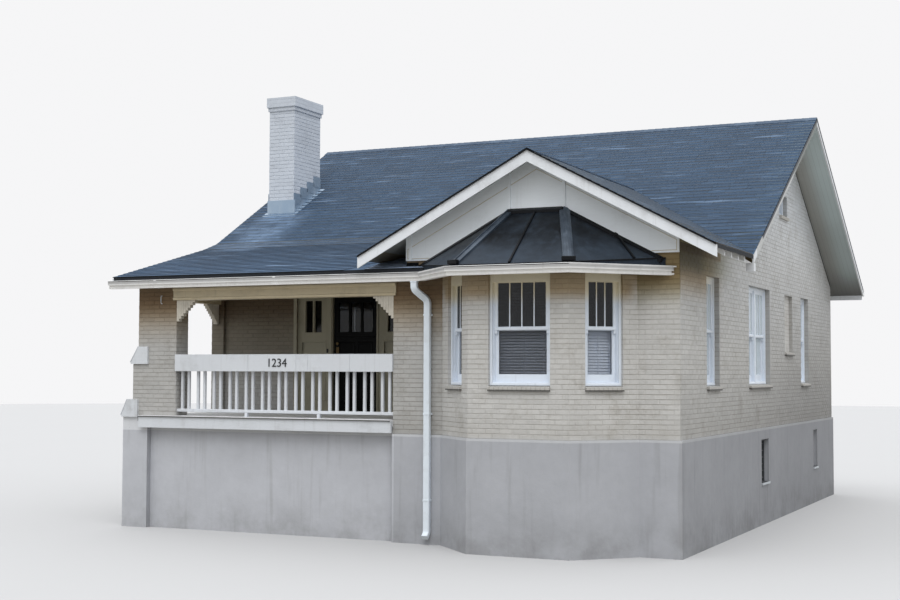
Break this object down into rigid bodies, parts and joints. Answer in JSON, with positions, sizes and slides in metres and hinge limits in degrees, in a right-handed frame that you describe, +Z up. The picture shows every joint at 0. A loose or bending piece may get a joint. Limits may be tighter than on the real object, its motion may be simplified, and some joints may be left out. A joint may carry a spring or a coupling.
{
  "type": "bungalow",
  "caption": "Hollow single-storey brick house with a side-gabled roof, a gabled front wing with a canted bay, a corner porch with a planter rail, a chimney and a hinged front door.",
  "frame": {"origin": "middle of the house in plan, at the underside of its foundation", "axes": "+Z up; the porch and the bay face -Y; +X to the right of someone facing the front"},
  "size_m": [10.4, 13.54, 7.94],
  "materials": {
    "foundation": "painted masonry, satin",
    "timber": "bare boards",
    "brick": "painted brick, satin",
    "shingles": "asphalt shingles, matt",
    "metal_roof": "satin",
    "trim": "white paint, satin",
    "panel": "white paint, satin",
    "gutter": "satin",
    "window_frame": "white paint, satin",
    "glazing": "clear",
    "entry_paint": "greige paint, satin",
    "door_paint": "dark paint, satin",
    "knob": "worn",
    "concrete": "weathered concrete",
    "cap_paint": "white painted masonry",
    "flashing": "weathered sheet metal"
  },
  "bodies": {
    "house": {"foundation_front": "foundation", "foundation_right": "foundation", "foundation_back": "foundation", "porch_base": "foundation", "house_floor": "timber", "attic_floor": "timber", "right_wall": "brick", "rear_wall": "brick", "left_wall": "brick", "wing_front_wall": "brick", "wing_side_wall": "brick", "bay_wall": "brick", "porch_wall_left": "brick", "porch_wall_right": "brick", "porch_wall_head": "brick", "roof_front": "shingles", "roof_rear": "shingles", "porch_roof": "shingles", "wing_roof": "shingles", "low_roof": "shingles", "bay_roof": "metal_roof", "rafter_tails": "trim", "main_rake_boards": "trim", "wing_rake_boards": "trim", "gable_panel": "panel", "front_gutter": "gutter", "rear_gutter": "gutter", "downspout": "gutter", "bay_windows": "window_frame", "right_windows": "window_frame", "back_windows": "window_frame", "bay_glass": "glazing", "right_glass": "glazing", "back_glass": "glazing", "window_sills": "brick", "basement_vents": "trim", "door_frame": "entry_paint", "sidelight_glass": "glazing", "porch_floor": "concrete", "porch_fascia": "trim", "porch_pier": "brick", "pier_caps": "cap_paint", "porch_beam": "entry_paint", "porch_ceiling": "entry_paint", "porch_brackets": "entry_paint", "planter_box": "trim", "porch_railing": "trim", "chimney": "brick", "chimney_flashing": "flashing"},
    "door": {"front_door": "door_paint", "door_glass": "glazing", "door_knob": "knob"}
  },
  "joints": [
    {"name": "front_door_hinge", "type": "hinge", "parent": "house", "child": "door", "pos_m": [-1.4575, -3.206, 2.916], "axis": [0, 0, -1], "range_deg": [0, 90]}
  ]
}
